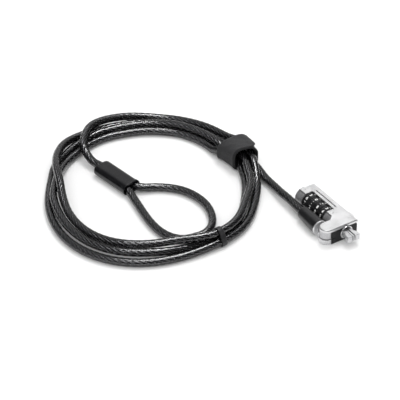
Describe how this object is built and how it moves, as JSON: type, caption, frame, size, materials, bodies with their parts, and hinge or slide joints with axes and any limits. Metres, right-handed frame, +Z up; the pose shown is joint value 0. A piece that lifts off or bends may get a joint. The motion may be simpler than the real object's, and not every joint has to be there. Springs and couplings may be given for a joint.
{
  "type": "laptop cable lock",
  "caption": "Combination lock head with a two-jaw slot tip, number dials and push button on a swivelling yoke, with a coiled vinyl-coated steel cable ending in an eye loop.",
  "frame": {"origin": "on the common axis of the dials and the locking tip, at the face of the front pad", "axes": "+Z up from the table, locking tip points to -Y, push button on +X; the table is at Z = -5.2 mm"},
  "size_m": [0.1511, 0.1839, 0.0157],
  "materials": {
    "vinyl_jacket": "gloss",
    "steel_rope": "stranded",
    "crimp_metal": "matte",
    "moulded_black": "satin",
    "strap_fabric": "woven",
    "tie_rubber": "matte",
    "stud_steel": "turned",
    "bush_brass": "turned",
    "yoke_metal": "satin",
    "sleeve_black": "satin",
    "housing_metal": "satin",
    "cover_metal": "satin",
    "pad_black": "matte",
    "bright_ring": "polished",
    "pin_steel": "satin",
    "washer_dark": "matte",
    "spring_steel": "satin",
    "tip_steel": "satin",
    "dial_black": "satin",
    "hub_brass": "turned",
    "button_metal": "satin"
  },
  "bodies": {
    "cable_coil": {"cable_jacket": "vinyl_jacket", "cable_core": "steel_rope", "loop_ferrule": "crimp_metal", "loop_cover": "moulded_black", "strap": "strap_fabric", "tie_band": "tie_rubber", "cable_end_stud": "stud_steel"},
    "swivel_yoke": {"yoke": "yoke_metal", "barrel_sleeve": "sleeve_black", "retaining_bush": "bush_brass"},
    "lock_head": {"housing": "housing_metal", "top_cover": "cover_metal", "front_pad": "pad_black", "tip_collar": "bright_ring", "pivot_pin": "pin_steel", "pivot_washer": "washer_dark", "jaw_pins": "pin_steel", "index_spring": "spring_steel", "spindle_bush": "bush_brass", "cover_screws": "pin_steel", "spindle_spring": "spring_steel"},
    "number_dial_1": {"dial_1": "dial_black", "code_hub_1": "hub_brass"},
    "number_dial_2": {"dial_2": "dial_black", "code_hub_2": "hub_brass"},
    "number_dial_3": {"dial_3": "dial_black", "code_hub_3": "hub_brass"},
    "number_dial_4": {"dial_4": "dial_black", "code_hub_4": "hub_brass"},
    "locking_spindle": {"spindle": "tip_steel"},
    "right_jaw": {"jaw_right": "tip_steel"},
    "left_jaw": {"jaw_left": "tip_steel"},
    "release_button": {"push_button": "button_metal"}
  },
  "joints": [
    {"name": "cable_swivel", "type": "hinge", "parent": "cable_coil", "child": "swivel_yoke", "pos_m": [-0.0105, 0.0048, -0.0004], "axis": [0.0436, 0.999, 0], "continuous": true},
    {"name": "head_pivot", "type": "hinge", "parent": "swivel_yoke", "child": "lock_head", "pos_m": [-0.0105, 0.0048, -0.002], "axis": [0, 0, -1], "range_deg": [0, 140]},
    {"name": "dial_1_turn", "type": "hinge", "parent": "lock_head", "child": "number_dial_1", "pos_m": [0, 0.019, 0], "axis": [0, 1, 0], "continuous": true},
    {"name": "dial_2_turn", "type": "hinge", "parent": "lock_head", "child": "number_dial_2", "pos_m": [0, 0.0242, 0], "axis": [0, 1, 0], "continuous": true},
    {"name": "dial_3_turn", "type": "hinge", "parent": "lock_head", "child": "number_dial_3", "pos_m": [0, 0.0294, 0], "axis": [0, 1, 0], "continuous": true},
    {"name": "dial_4_turn", "type": "hinge", "parent": "lock_head", "child": "number_dial_4", "pos_m": [0, 0.0346, 0], "axis": [0, 1, 0], "continuous": true},
    {"name": "button_press", "type": "slide", "parent": "lock_head", "child": "release_button", "axis": [-1, 0, 0], "range_m": [0, 0.0018]},
    {"name": "spindle_slide", "type": "slide", "parent": "lock_head", "child": "locking_spindle", "axis": [0, 1, 0], "range_m": [0, 0.0018], "stiffness_N_per_m": 300, "springref_m": -0.001, "deforming": ["spindle_spring"]},
    {"name": "right_jaw_close", "type": "hinge", "parent": "lock_head", "child": "right_jaw", "pos_m": [0.0019, 0.0049, 0], "axis": [0, 0, -1], "range_deg": [0, 2.85]},
    {"name": "left_jaw_close", "type": "hinge", "parent": "lock_head", "child": "left_jaw", "pos_m": [-0.0019, 0.0049, 0], "axis": [0, 0, 1], "range_deg": [0, 2.85]}
  ],
  "couplings": [
    {"joint": "spindle_slide", "follows": "button_press", "ratio": 1},
    {"joint": "right_jaw_close", "follows": "button_press", "rad_per_m": 27.15},
    {"joint": "left_jaw_close", "follows": "button_press", "rad_per_m": 27.15}
  ]
}
